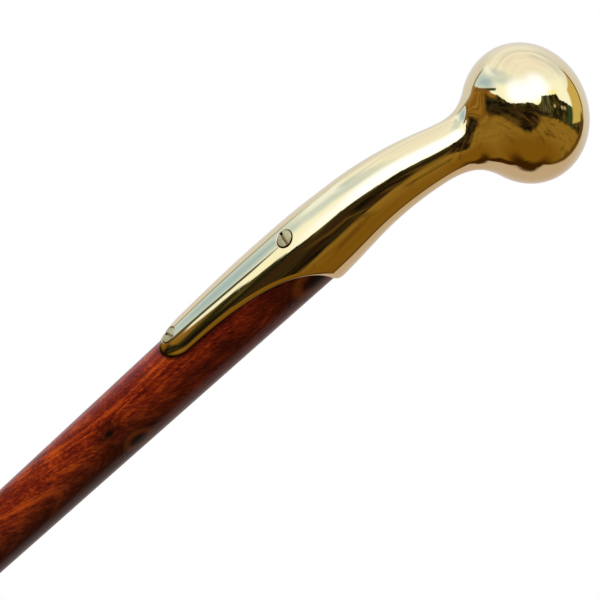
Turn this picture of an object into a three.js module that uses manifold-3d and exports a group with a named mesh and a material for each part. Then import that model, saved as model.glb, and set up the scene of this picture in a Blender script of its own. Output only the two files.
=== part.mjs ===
// A knob handle walking stick: a hollow brass knob, neck and socket in one casting, whose long tongue is
// screwed to a tapered hardwood shaft, with a brass ferrule and a push-on rubber tip at the foot.
// Millimetres, +Z up the shaft. The origin is the middle of the rubber tip's flat underside.
// The knob leans towards +X, and the tongue runs down the shaft's -X side.

import * as THREE from 'three';
import { mergeVertices } from 'three/addons/utils/BufferGeometryUtils.js';
import Module from 'manifold-3d';

const wasm = await Module();
wasm.setup();

const quarterTurn = Math.PI / 2;

// Fits
const clearance = 0.3; // between pieces that are cut to each other
const overrun = 1; // how far a cutter runs past what it cuts

// Rubber tip
const tipHeight = 42;
const tipBaseDiameter = 36;
const tipMouthDiameter = 23.6;
const tipBaseThickness = 12; // rubber under the washer
const tipFlareHeight = 15;
const tipFlareRadius = 13; // of the hollow curve above the base
const tipEdgeRound = 1.6;
const tipBeadHeight = 4.5;
const tipBeadDepth = 0.9;
const treadDepth = 0.6;
const treadPadDiameter = 11; // the flat pad in the middle, on which the stick stands
const treadRingWidth = 2.6;
const treadRingCount = 3;
const washerThickness = 1.5;
const washerClearance = 0.5;

// Brass ferrule
const ferruleHeight = 42;
const ferruleDiameter = 17.6;
const ferruleWall = 0.9;
const ferruleEndThickness = 1.5;
const ferruleEndRound = 0.7;
const ferruleBeadHeight = 2.4;
const ferruleBeadDepth = 0.5;
const ferrulePinDiameter = 1.8;
const ferrulePinLength = 6;
const ferrulePinDrop = 6.2; // below the ferrule's upper edge
const ferrulePinProud = 0.35;

// Wooden shaft
const lipHeight = 830; // the socket's lip above the ground
const shaftTopDiameter = 23; // where it enters the lip
const tenonLength = 30; // above the lip
const tenonEndDiameter = 14.8;
const tenonChamfer = 1;

// Brass handle
const lipDiameter = 25.9;
const lipCrown = 3.6; // the socket is widest this far above the lip
const neckDiameter = 18;
const neckEnd = 47.1; // along the spine, where the neck's straight taper ends
const bendStart = 17; // along the spine, above the lip
const bendRadius = 90.7;
const bendAngle = THREE.MathUtils.degToRad(23);
const knobDistance = 79.4; // along the spine, from the lip to the knob's middle
const knobDiameter = 44.3;
const knobDepth = 38; // along the spine
const knobFilletWidth = 14.9; // radius of the circle where the knob takes over from the fillet
const filletNeckShare = 0.55; // of the fillet's length, over which it leans on the neck's line
const filletKnobShare = 0.41; // the same on the knob's side
const knobWall = 3;
const neckBoreDiameter = 10;

// Tongue. Its edge is drawn on the unrolled shaft, with the middle of the tongue at zero.
const tongueLength = 59.4; // below the lip
const tongueWidth = 14.7; // where its rounded tip begins
const tongueTipRound = 9; // length of the rounded tip
const sweepRise = 28.6; // how far the sides keep straight before they sweep out
const sweepRun = 10.5;
const sweepEnd = 21.7; // round the shaft from the middle of the tongue, where the sweep meets the lip
const tongueSwell = 0.6; // how far the tongue's middle stands out past the lip
const edgeRound = 2.2;
const tipEdgeFade = 7; // the rounding's width at the tip
const edgeThickness = 0.35;
const fanTop = 5; // above the lip, where the handle's section becomes a full circle

// Tongue screws
const screwHeadDiameter = 5.4;
const screwHeadDepth = 1.7;
const screwHeadRim = 0.35; // straight edge of the head, above its cone
const screwShankDiameter = 2.5;
const screwThreadDiameter = 3;
const screwThreadPitch = 1.25;
const screwLength = 14;
const screwPoint = 3;
const screwSlotWidth = 0.95;
const screwSlotDepth = 0.8;
const screwRecessDiameter = 6.2;
const screwSlip = 0.18; // how far each screw lies off the middle of its hole, towards +Y
const upperScrewDrop = 1.7; // below the lip
const lowerScrewDrop = 53.6;
const upperScrewInset = 0.1; // how deep the head's middle lies in the tongue
const lowerScrewInset = 0.35;
const upperScrewTurn = THREE.MathUtils.degToRad(9.8); // off the tongue's middle line, about the shaft
const lowerScrewTurn = THREE.MathUtils.degToRad(-7.2);
const upperSlotTurn = THREE.MathUtils.degToRad(92.5); // from the shaft's direction
const lowerSlotTurn = THREE.MathUtils.degToRad(120.5);

// Facets
const roundSegments = 40;
const smallSegments = 16;
const handleColumns = 64; // round the socket and neck
const columnCrowding = 2.2; // power by which the columns crowd towards the tongue at the socket's lip
const columnEvenShare = 0.25; // share of even spacing kept in that
const neckRings = 7;
const filletRings = 7;
const knobRings = 14;
const hollowRings = 8;
const roundingSteps = 3;
const curveSteps = 6;
// Rows of points, as shares of the way from the rim to the full circle
const edgeRowShares = [0, 0.008, 0.03, 0.08, 0.17, 0.3, 0.5, 0.75, 1];
const socketRowShares = [0, 0.25, 0.5, 0.7, 0.85, 1];

// Materials
const brass = new THREE.MeshStandardMaterial({ color: 0xc9a03c, roughness: 0.12, metalness: 1 });
const paleBrass = new THREE.MeshStandardMaterial({ color: 0xd3c893, roughness: 0.3, metalness: 1 });
const rosewood = new THREE.MeshStandardMaterial({ color: 0x6a1e08, roughness: 0.2, metalness: 0 });
const blackRubber = new THREE.MeshStandardMaterial({ color: 0x1b1b1a, roughness: 0.85, metalness: 0 });
const plainSteel = new THREE.MeshStandardMaterial({ color: 0x9a9b9d, roughness: 0.4, metalness: 1 });

// Sizes that follow from those above
const ferruleFoot = tipBaseThickness + washerThickness;
const ferruleTop = ferruleFoot + ferruleHeight;
const shaftTopRadius = shaftTopDiameter / 2;
const shaftFootRadius = ferruleDiameter / 2;
const shaftTaper = (shaftTopRadius - shaftFootRadius) / (lipHeight - ferruleTop);
const spigotRadius = ferruleDiameter / 2 - ferruleWall - clearance;
const spigotFoot = ferruleFoot + ferruleEndThickness + clearance;
const tipSocketRadius = ferruleDiameter / 2 + clearance;

const group = new THREE.Group();

function addPiece(name, geometry, material) {
  const mesh = new THREE.Mesh(geometry, material);
  mesh.name = name;
  group.add(mesh);
  return mesh;
}

// Solids and booleans

function closedGeometry(geometry) {
  const bare = geometry.clone();
  bare.deleteAttribute('normal');
  bare.deleteAttribute('uv');
  const merged = mergeVertices(bare);
  const corners = merged.index.array;
  const kept = [];
  for (let i = 0; i < corners.length; i += 3) {
    const [a, b, c] = [corners[i], corners[i + 1], corners[i + 2]];
    if (a !== b && b !== c && c !== a) kept.push(a, b, c);
  }
  merged.setIndex(kept);
  return merged;
}

function solidOf(geometry) {
  const closed = closedGeometry(geometry);
  return new wasm.Manifold(new wasm.Mesh({
    numProp: 3,
    vertProperties: new Float32Array(closed.attributes.position.array),
    triVerts: new Uint32Array(closed.index.array),
  }));
}

function geometryOf(solid) {
  const { vertProperties, triVerts } = solid.getMesh();
  const geometry = new THREE.BufferGeometry();
  geometry.setAttribute('position', new THREE.BufferAttribute(new Float32Array(vertProperties), 3));
  geometry.setIndex(new THREE.BufferAttribute(new Uint32Array(triVerts), 1));
  geometry.computeVertexNormals();
  return geometry;
}

function cut(geometry, cutters) {
  let solid = solidOf(geometry);
  for (const cutter of cutters) solid = solid.subtract(solidOf(cutter));
  return geometryOf(solid);
}

// A turned solid about +Z. The profile holds [radius, height] pairs from the foot's axis to the top's.
function turned(profile, segments) {
  const points = profile.map(([radius, height]) => new THREE.Vector2(radius, height));
  return closedGeometry(new THREE.LatheGeometry(points, segments).rotateX(quarterTurn));
}

// Points on an ellipse about (radius, height), from one angle to another
function arcPoints(radius, height, width, rise, from, to, steps) {
  const curve = new THREE.EllipseCurve(radius, height, width, rise, from, to, to < from);
  return curve.getPoints(steps).map((point) => [point.x, point.y]);
}

// Rubber tip, washer and ferrule

function rubberTip() {
  const baseRadius = tipBaseDiameter / 2;
  const mouthRadius = tipMouthDiameter / 2;
  const padRadius = treadPadDiameter / 2;
  const tread = [[0, 0], [padRadius, 0]];
  const ringPitch = (baseRadius - padRadius) / treadRingCount;
  for (let ring = 0; ring < treadRingCount; ring += 1) {
    const outer = padRadius + ringPitch * (ring + 1);
    const inner = outer - treadRingWidth;
    tread.push([outer - ringPitch, treadDepth], [inner, treadDepth], [inner, 0]);
    if (ring < treadRingCount - 1) tread.push([outer, 0]);
  }
  const flareWidth = baseRadius - mouthRadius;
  const rise = tipFlareRadius;
  const flare = arcPoints(baseRadius, tipFlareHeight, flareWidth, rise, -quarterTurn, -Math.PI, curveSteps);
  const foot = tipEdgeRound;
  const brim = tipBeadDepth;
  const neckRadius = mouthRadius - brim;
  const side = [
    ...arcPoints(baseRadius - foot, foot, foot, foot, -quarterTurn, 0, roundingSteps),
    ...flare,
    [neckRadius, tipFlareHeight + tipBeadHeight],
    [neckRadius, tipHeight - tipBeadHeight],
    [mouthRadius, tipHeight - tipBeadHeight + brim],
    ...arcPoints(neckRadius, tipHeight - brim, brim, brim, 0, quarterTurn, roundingSteps),
    [tipSocketRadius, tipHeight],
    [tipSocketRadius, tipBaseThickness],
    [0, tipBaseThickness],
  ];
  return turned([...tread, ...side], roundSegments);
}

function washer() {
  const radius = tipSocketRadius - washerClearance;
  const top = tipBaseThickness + washerThickness;
  const profile = [[0, tipBaseThickness], [radius, tipBaseThickness], [radius, top], [0, top]];
  return turned(profile, roundSegments);
}

function ferrulePinCutter(side, gap, inner, outer) {
  const pin = new THREE.CylinderGeometry(
    ferrulePinDiameter / 2 + gap,
    ferrulePinDiameter / 2 + gap,
    outer - inner,
    smallSegments,
  );
  pin.rotateZ(quarterTurn);
  return pin.translate(side * (inner + outer) / 2, 0, ferruleTop - ferrulePinDrop);
}

function ferrulePin(side) {
  const outer = ferruleDiameter / 2 + ferrulePinProud;
  return ferrulePinCutter(side, 0, outer - ferrulePinLength, outer);
}

function ferrulePinHole(side) {
  const inner = ferruleDiameter / 2 + ferrulePinProud - ferrulePinLength - clearance;
  return ferrulePinCutter(side, clearance, inner, ferruleDiameter / 2 + overrun);
}

function ferrule() {
  const radius = ferruleDiameter / 2;
  const bore = radius - ferruleWall;
  const beadReach = ferruleBeadHeight / 2;
  const beadMiddle = ferruleTop - beadReach;
  const round = ferruleEndRound;
  const depth = ferruleBeadDepth;
  const bead = arcPoints(radius, beadMiddle, depth, beadReach, -quarterTurn, quarterTurn, curveSteps);
  const cup = turned([
    [0, ferruleFoot],
    ...arcPoints(radius - round, ferruleFoot + round, round, round, -quarterTurn, 0, roundingSteps),
    ...bead,
    [bore, ferruleTop],
    [bore, ferruleFoot + ferruleEndThickness],
    [0, ferruleFoot + ferruleEndThickness],
  ], roundSegments);
  return cut(cup, [ferrulePinHole(1), ferrulePinHole(-1)]);
}

// Screws. Each is made upright, with the middle of its head's top at the origin, then set into the tongue.

function screwBody() {
  const headRadius = screwHeadDiameter / 2;
  const shankRadius = screwShankDiameter / 2;
  const threadRadius = screwThreadDiameter / 2;
  const threadTop = -screwHeadDepth - screwThreadPitch;
  const threadFoot = -screwLength + screwPoint;
  const profile = [[0, -screwLength]];
  const turns = Math.floor((threadTop - threadFoot) / screwThreadPitch);
  for (let turn = 0; turn < turns; turn += 1) {
    const foot = threadFoot + turn * screwThreadPitch;
    profile.push([shankRadius, foot], [threadRadius, foot + screwThreadPitch / 2]);
  }
  profile.push([shankRadius, threadFoot + turns * screwThreadPitch]);
  profile.push([shankRadius, -screwHeadDepth], [headRadius, -screwHeadRim], [headRadius, 0], [0, 0]);
  return turned(profile, smallSegments);
}

function screwSlot(turn) {
  const slot = new THREE.BoxGeometry(screwSlotWidth, screwHeadDiameter + overrun, screwSlotDepth + overrun);
  return slot.translate(0, 0, (overrun - screwSlotDepth) / 2).rotateZ(turn);
}

// The room that a screw needs in the brass and in the wood
function screwRoom() {
  const recessRadius = screwRecessDiameter / 2;
  const holeRadius = screwThreadDiameter / 2 + clearance;
  return turned([
    [0, -screwLength - clearance],
    [holeRadius, -screwLength + screwPoint - clearance],
    [holeRadius, -screwHeadDepth - clearance],
    [recessRadius, -screwHeadRim - clearance],
    [recessRadius, overrun],
    [0, overrun],
  ], smallSegments);
}

// Where a screw sits: its own +Z turns to the outward radius, and its own +Y runs up the shaft.
function screwPlace(drop, turn, inset) {
  const reach = tongueRadius(-drop) - inset;
  return new THREE.Matrix4()
    .makeRotationZ(turn)
    .multiply(new THREE.Matrix4().makeTranslation(-reach, 0, lipHeight - drop))
    .multiply(new THREE.Matrix4().makeBasis(
      new THREE.Vector3(0, -1, 0),
      new THREE.Vector3(0, 0, 1),
      new THREE.Vector3(-1, 0, 0),
    ));
}

function tongueScrew(place, slotTurn) {
  return cut(screwBody(), [screwSlot(slotTurn)]).translate(-screwSlip, 0, 0).applyMatrix4(place);
}

// The handle's spine: straight up from the lip, then an arc towards +X, then straight into the knob.
// It returns the place, measured from the lip's middle, and the lean from +Z.
function spineAt(distance) {
  const bent = THREE.MathUtils.clamp((distance - bendStart) / bendRadius, 0, bendAngle);
  const before = Math.min(distance, bendStart);
  const after = Math.max(distance - bendStart - bendRadius * bendAngle, 0);
  return {
    x: bendRadius * (1 - Math.cos(bent)) + after * Math.sin(bent),
    z: before + bendRadius * Math.sin(bent) + after * Math.cos(bent),
    lean: bent,
  };
}

// The handle's outline along its spine above the tongue, as [distance, radius] up to the knob's top
function handleOutline() {
  const taper = (neckDiameter - lipDiameter) / 2 / (neckEnd - lipCrown);
  const joinAngle = Math.asin(knobFilletWidth / (knobDiameter / 2));
  const join = new THREE.Vector2(knobDistance - knobDepth / 2 * Math.cos(joinAngle), knobFilletWidth);
  const joinSlope = new THREE.Vector2(knobDepth * Math.sin(joinAngle), knobDiameter * Math.cos(joinAngle));
  const neckReach = (join.x - neckEnd) * filletNeckShare;
  const knobReach = (join.x - neckEnd) * filletKnobShare;
  const fillet = new THREE.CubicBezierCurve(
    new THREE.Vector2(neckEnd, neckDiameter / 2),
    new THREE.Vector2(neckEnd + neckReach, neckDiameter / 2 + neckReach * taper),
    join.clone().addScaledVector(joinSlope.normalize(), -knobReach),
    join,
  );
  const neck = Array.from({ length: neckRings }, (unused, ring) => {
    const distance = THREE.MathUtils.lerp(fanTop, neckEnd, ring / neckRings);
    return [distance, lipDiameter / 2 + (distance - lipCrown) * taper];
  });
  const bend = fillet.getPoints(filletRings).map((point) => [point.x, point.y]);
  const knobStart = Math.PI - joinAngle;
  const knob = arcPoints(knobDistance, 0, knobDepth / 2, knobDiameter / 2, knobStart, 0, knobRings);
  return [...neck, ...bend, ...knob.slice(1)];
}

// The hollow's outline along the spine, from the tenon's end through the neck to the cavity's top
function hollowOutline() {
  const boreRadius = neckBoreDiameter / 2;
  const cavityRadius = knobDiameter / 2 - knobWall;
  const cavityReach = knobDepth / 2 - knobWall;
  const mouthAngle = Math.PI - Math.asin(boreRadius / cavityRadius);
  const start = tenonLength + clearance;
  const end = knobDistance + cavityReach * Math.cos(mouthAngle);
  const bore = Array.from({ length: neckRings }, (unused, ring) => [
    THREE.MathUtils.lerp(start, end, ring / neckRings),
    boreRadius,
  ]);
  return [...bore, ...arcPoints(knobDistance, 0, cavityReach, cavityRadius, mouthAngle, 0, hollowRings)];
}

function shaftRadius(height) {
  return shaftTopRadius + height * shaftTaper;
}

// The outer radius of the tongue and the socket at a height from the lip, away from the rounded edge
function tongueRadius(height) {
  if (height > lipCrown) {
    return THREE.MathUtils.mapLinear(height, lipCrown, neckEnd, lipDiameter, neckDiameter) / 2;
  }
  const share = (lipCrown - height) / (lipCrown + tongueLength);
  return lipDiameter / 2 + tongueSwell * Math.sin(Math.PI * share);
}

// The radius of the brass's inner face, which wraps the shaft
function socketRadius(height) {
  return shaftRadius(Math.min(height, 0)) + clearance;
}

// Half of the handle's lower edge on the unrolled shaft: round the tip, up the side and along the lip
function rimPath() {
  const tipTop = tongueTipRound - tongueLength;
  const path = new THREE.CurvePath();
  path.add(new THREE.EllipseCurve(0, tipTop, tongueWidth / 2, tongueTipRound, -quarterTurn, 0));
  path.add(new THREE.CubicBezierCurve(
    new THREE.Vector2(tongueWidth / 2, tipTop),
    new THREE.Vector2(tongueWidth / 2, tipTop + sweepRise),
    new THREE.Vector2(sweepEnd - sweepRun, 0),
    new THREE.Vector2(sweepEnd, 0),
  ));
  const back = new THREE.Vector2(Math.PI * shaftTopRadius, 0);
  path.add(new THREE.LineCurve(new THREE.Vector2(sweepEnd, 0), back));
  return path;
}

// The angle from the tongue's middle at which a column stands. Round the lip the columns crowd towards the
// tongue, whose edge is the longest part of the rim, and up the neck they even out.
function columnAngle(column, evenness) {
  const half = handleColumns / 2;
  const mirrored = column > half;
  const share = (mirrored ? handleColumns - column : column) / half;
  const crowded = THREE.MathUtils.lerp(share ** columnCrowding, share, columnEvenShare);
  return (mirrored ? -1 : 1) * Math.PI * THREE.MathUtils.lerp(crowded, share, evenness);
}

// Lines over the unrolled shaft that leave the rim square to it and lean over to the full circle
function fanLines() {
  const rim = rimPath();
  const lines = [];
  const half = handleColumns / 2;
  for (let column = 0; column <= half; column += 1) {
    const share = column / half;
    const foot = rim.getPointAt(share);
    const along = rim.getTangentAt(share);
    const inward = new THREE.Vector2(-along.y, along.x);
    const head = new THREE.Vector2(columnAngle(column, 0) * shaftTopRadius, fanTop);
    const reach = Math.min(tongueWidth / 2, foot.distanceTo(head)) / 2;
    const curve = new THREE.QuadraticBezierCurve(foot, foot.clone().addScaledVector(inward, reach), head);
    const towardsTip = foot.y < -tongueLength / 2 ? Math.max(inward.y, 0) : 0;
    lines.push({ curve, round: THREE.MathUtils.lerp(edgeRound, tipEdgeFade, towardsTip) });
  }
  return lines;
}

// One row of points round the handle, a share of the way up the fan lines
function fanRow(lines, share, onOutside) {
  const row = [];
  for (let column = 0; column < handleColumns; column += 1) {
    const mirrored = column > handleColumns / 2;
    const { curve, round } = lines[mirrored ? handleColumns - column : column];
    const point = curve.getPoint(share);
    const inner = socketRadius(point.y);
    const fromRim = Math.min(point.distanceTo(curve.v0) / round, 1);
    const rise = Math.sqrt(1 - (1 - fromRim) ** 2);
    const outer = THREE.MathUtils.lerp(inner + edgeThickness, tongueRadius(point.y), rise);
    const radius = onOutside ? outer : inner;
    const angle = (mirrored ? -1 : 1) * point.x / shaftTopRadius;
    row.push(new THREE.Vector3(-radius * Math.cos(angle), -radius * Math.sin(angle), point.y));
  }
  return row;
}

// One ring of points square to the spine
function spineRing(distance, radius) {
  const { x, z, lean } = spineAt(distance);
  const evenness = THREE.MathUtils.smoothstep(distance, fanTop, neckEnd);
  return Array.from({ length: handleColumns }, (unused, column) => {
    const angle = columnAngle(column, evenness);
    const across = -radius * Math.cos(angle);
    const aside = -radius * Math.sin(angle);
    return new THREE.Vector3(x + across * Math.cos(lean), aside, z - across * Math.sin(lean));
  });
}

// A closed skin through rows of points, each row a full turn, with a single point at either end
function closedSkin(first, rows, last) {
  const points = [first, ...rows.flat(), last];
  const columns = rows[0].length;
  const at = (row, column) => 1 + row * columns + column % columns;
  const corners = [];
  for (let column = 0; column < columns; column += 1) {
    corners.push(0, at(0, column), at(0, column + 1));
    for (let row = 0; row < rows.length - 1; row += 1) {
      corners.push(at(row, column), at(row + 1, column), at(row + 1, column + 1));
      corners.push(at(row, column), at(row + 1, column + 1), at(row, column + 1));
    }
    corners.push(points.length - 1, at(rows.length - 1, column + 1), at(rows.length - 1, column));
  }
  const geometry = new THREE.BufferGeometry().setFromPoints(points);
  geometry.setIndex(corners);
  return geometry;
}

// The skin runs from the knob's top down the outside, round the rim, and up the socket, bore and cavity.
function handleShell() {
  const lines = fanLines();
  const outline = handleOutline();
  const hollow = hollowOutline();
  const [topDistance] = outline.pop();
  const [cavityTop] = hollow.pop();
  const pole = ({ x, z }) => new THREE.Vector3(x, 0, z);
  const socketEnd = tenonEndDiameter / 2 + clearance;
  const aboveTenon = (ring) => ring.map((point) => point.setZ(tenonLength + clearance));
  const rows = [
    ...outline.slice(1).reverse().map(([distance, radius]) => spineRing(distance, radius)),
    ...[...edgeRowShares].reverse().map((share) => fanRow(lines, share, true)),
    ...socketRowShares.map((share) => fanRow(lines, share, false)),
    aboveTenon(spineRing(0, socketEnd)),
    aboveTenon(spineRing(...hollow[0])),
    ...hollow.slice(1).map(([distance, radius]) => spineRing(distance, radius)),
  ];
  return closedSkin(pole(spineAt(topDistance)), rows, pole(spineAt(cavityTop))).translate(0, 0, lipHeight);
}

function knobHandle(places) {
  return cut(handleShell(), places.map((place) => screwRoom().applyMatrix4(place)));
}

function shaft(places) {
  const tenonRadius = tenonEndDiameter / 2;
  const blank = turned([
    [0, spigotFoot],
    [spigotRadius, spigotFoot],
    [spigotRadius, ferruleTop],
    [shaftFootRadius, ferruleTop],
    [shaftTopRadius, lipHeight],
    [shaftTopRadius, lipHeight + fanTop],
    [tenonRadius, lipHeight + tenonLength - tenonChamfer],
    [tenonRadius - tenonChamfer, lipHeight + tenonLength],
    [0, lipHeight + tenonLength],
  ], roundSegments);
  const screwHoles = places.map((place) => screwRoom().applyMatrix4(place));
  return cut(blank, [...screwHoles, ferrulePinHole(1), ferrulePinHole(-1)]);
}

const upperPlace = screwPlace(upperScrewDrop, upperScrewTurn, upperScrewInset);
const lowerPlace = screwPlace(lowerScrewDrop, lowerScrewTurn, lowerScrewInset);

addPiece('knob_handle', knobHandle([upperPlace, lowerPlace]), brass);
addPiece('shaft', shaft([upperPlace, lowerPlace]), rosewood);
addPiece('tongue_screw_upper', tongueScrew(upperPlace, upperSlotTurn), paleBrass);
addPiece('tongue_screw_lower', tongueScrew(lowerPlace, lowerSlotTurn), paleBrass);
addPiece('foot_ferrule', ferrule(), brass);
addPiece('ferrule_pin_front', ferrulePin(1), paleBrass);
addPiece('ferrule_pin_back', ferrulePin(-1), paleBrass);
addPiece('tip_washer', washer(), plainSteel);
addPiece('rubber_tip', rubberTip(), blackRubber);

export default group;
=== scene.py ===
# Looks of the knob handle walking stick: polished brass, lacquered wood, ferrule and rubber tip
import math

import bpy
import numpy as np
from mathutils import Matrix, Vector
from mathutils.bvhtree import BVHTree


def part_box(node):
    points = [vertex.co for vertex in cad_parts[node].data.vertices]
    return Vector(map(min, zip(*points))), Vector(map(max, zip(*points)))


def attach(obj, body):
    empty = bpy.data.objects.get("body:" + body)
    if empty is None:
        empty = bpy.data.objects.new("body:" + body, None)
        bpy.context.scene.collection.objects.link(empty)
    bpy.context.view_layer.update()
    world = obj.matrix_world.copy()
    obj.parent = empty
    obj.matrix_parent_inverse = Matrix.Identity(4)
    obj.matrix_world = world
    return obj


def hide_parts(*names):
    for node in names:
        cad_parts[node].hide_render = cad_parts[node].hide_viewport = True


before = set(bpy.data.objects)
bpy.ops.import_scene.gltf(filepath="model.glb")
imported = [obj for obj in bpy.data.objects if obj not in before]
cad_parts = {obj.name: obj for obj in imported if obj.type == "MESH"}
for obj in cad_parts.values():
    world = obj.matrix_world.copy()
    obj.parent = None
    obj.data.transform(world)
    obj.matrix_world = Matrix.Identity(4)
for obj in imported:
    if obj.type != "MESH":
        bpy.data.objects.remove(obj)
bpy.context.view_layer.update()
mm = 0.001
print("frame loaded with", len(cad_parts), "nodes")

# Camera, at the photograph's viewing angle. Lengths are in millimetres, angles in degrees.
photoView = {
    "imageSize": 600,  # pixels, square
    "lens": 81,
    "sensor": 36,
    "azimuth": -41,  # round the stick
    "elevation": 16,
    "distance": 429.3,  # from the aim point
    "aimAboveLip": 1,  # the aim point lies on the shaft's axis
    "aimPixel": (314.7, 246.6),  # where it shows in the image
    "stickSlope": 42.2,  # of the stick above level, in the image
}

# Brass handle, in millimetres and degrees along the stick
handleForm = {
    "lipDiameter": 25.9,
    "lipCrown": 3.6,  # the neck's taper starts this far above the lip
    "crownSoftness": 0.45,  # how gently
    "neckDiameter": 18,
    "neckEnd": 47.1,
    "bendStart": 17,
    "bendRadius": 90.7,
    "bendAngle": 23,
    "knobDistance": 79.4,
    "knobDiameter": 44.3,
    "knobDepth": 38,
    "filletWidth": 14.9,  # radius where the knob takes over from the fillet
    "filletNeckShare": 0.55,
    "filletKnobShare": 0.41,
    "knobWall": 3,
    "boreDiameter": 10,
    "tongueLength": 59.4,
    "tongueWidth": 14.7,
    "tipRound": 9,
    "sweepRise": 28.6,
    "sweepRun": 10.5,
    "sweepEnd": 21.7,
    "tongueSwell": 0.6,
    "edgeRound": 2.2,
    "tipEdgeFade": 7,
    "edgeThickness": 0.35,
    "fanTop": 5,
    "shaftGap": 0.3,
    "columns": 320,
    "columnCrowding": 2.2,  # power by which the columns crowd towards the tongue at the lip
    "columnEvenShare": 0.25,
    "edgeRows": 14,
    "fanRows": 44,
    "neckRows": 60,
    "filletRows": 26,
    "knobRows": 64,
    "innerRows": 8,
}

# Wooden shaft, in millimetres
shaftForm = {
    "topDiameter": 23,  # where it enters the lip
    "footDiameter": 17.6,  # at the ferrule
    "tenonLength": 30,
    "tenonDiameter": 14.8,
    "tenonChamfer": 1,
    "spigotDiameter": 15.2,
    "columns": 128,
    "rowPitch": 4,
    "waver": 0.06,  # how far the turned surface wanders
    "waverScale": 30.0,
    "seed": 3.0,
}

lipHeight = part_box("knob_handle")[0].z / mm + handleForm["tongueLength"]
ferruleLow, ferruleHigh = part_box("foot_ferrule")
shaftLow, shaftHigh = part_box("shaft")


def newObject(name, data):
    item = bpy.data.objects.new(name, data)
    bpy.context.scene.collection.objects.link(item)
    return item


def makeCamera():
    view = photoView
    focal = view["lens"] / view["sensor"] * view["imageSize"]  # in pixels
    half = view["imageSize"] / 2
    azimuth, elevation = math.radians(view["azimuth"]), math.radians(view["elevation"])
    slope = math.radians(view["stickSlope"])
    aim = Vector((0, 0, lipHeight + view["aimAboveLip"]))
    away = Vector((
        math.sin(azimuth) * math.cos(elevation),
        -math.cos(azimuth) * math.cos(elevation),
        math.sin(elevation),
    ))
    # the line of sight and the stick's direction, first in the object's frame, then in the camera's own
    stick = (Vector((0, 0, 1)) - away * away.z).normalized()
    u, v = view["aimPixel"]
    sight = Vector(((u - half) / focal, (half - v) / focal, -1)).normalized()
    across = Vector((math.cos(slope), math.sin(slope), 0))
    seenStick = (across - sight * sight.dot(across)).normalized()
    objectBasis = Matrix((-away, stick, (-away).cross(stick))).transposed()
    cameraBasis = Matrix((sight, seenStick, sight.cross(seenStick))).transposed()
    turn = objectBasis @ cameraBasis.transposed()
    data = bpy.data.cameras.new("photoCamera")
    data.lens = view["lens"]
    data.sensor_width = view["sensor"]
    data.clip_start = 0.01
    camera = newObject("photoCamera", data)
    camera.matrix_world = Matrix.Translation((aim + away * view["distance"]) * mm) @ turn.to_4x4()
    bpy.context.scene.camera = camera
    return turn


photoTurn = makeCamera()
print("camera set")


# Meshes


def meshPiece(name, points, faces, material=None, scale=mm):
    mesh = bpy.data.meshes.new(name)
    mesh.from_pydata((np.asarray(points, float) * scale).tolist(), [], faces)
    mesh.shade_smooth()
    if material:
        mesh.materials.append(material)
    return newObject(name, mesh)


def closedSkin(first, rows, last):
    # a skin through rows of points, each a full turn, with a single point at either end
    columns = len(rows[0])
    points = np.vstack([[first], *rows, [last]])
    end = len(points) - 1
    faces = []
    for column in range(columns):
        after = (column + 1) % columns
        faces.append((0, 1 + column, 1 + after))
        for row in range(len(rows) - 1):
            a, b = 1 + row * columns, 1 + (row + 1) * columns
            faces.append((a + column, b + column, b + after, a + after))
        top = 1 + (len(rows) - 1) * columns
        faces.append((end, top + after, top + column))
    return points, faces


def ringAngles(columns):
    return 2 * np.pi * np.arange(columns) / columns


def ring(radius, height, angles):
    return np.stack(np.broadcast_arrays(radius * np.cos(angles), radius * np.sin(angles), height), 1)


def turned(profile, columns):
    # profile: (radius, height) from the foot's axis to the top's, anticlockwise with the axis on the left
    rows = [ring(radius, height, -ringAngles(columns)) for radius, height in profile[1:-1]]
    return closedSkin((0, 0, profile[0][1]), rows, (0, 0, profile[-1][1]))


def arcPoints(middle, reach, start, end, steps):
    angles = np.radians(np.linspace(start, end, steps + 1))
    return [(middle[0] + reach[0] * math.cos(a), middle[1] + reach[1] * math.sin(a)) for a in angles]


def bezier(points, steps):
    t = np.linspace(0, 1, steps + 1)[:, None]
    level = [np.asarray(point, float) for point in points]
    while len(level) > 1:
        level = [(1 - t) * a + t * b for a, b in zip(level, level[1:])]
    return level[0]


# Handle. The same rules as the frame's own knob_handle, in finer steps.


def spineAt(distance):
    form = handleForm
    turn = math.radians(form["bendAngle"])
    bent = np.clip((distance - form["bendStart"]) / form["bendRadius"], 0, turn)
    before = min(distance, form["bendStart"])
    after = max(distance - form["bendStart"] - form["bendRadius"] * turn, 0)
    x = form["bendRadius"] * (1 - math.cos(bent)) + after * math.sin(bent)
    z = before + form["bendRadius"] * math.sin(bent) + after * math.cos(bent)
    return x, z, bent


def neckTaper():
    form = handleForm
    return (form["neckDiameter"] - form["lipDiameter"]) / 2 / (form["neckEnd"] - form["lipCrown"])


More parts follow.
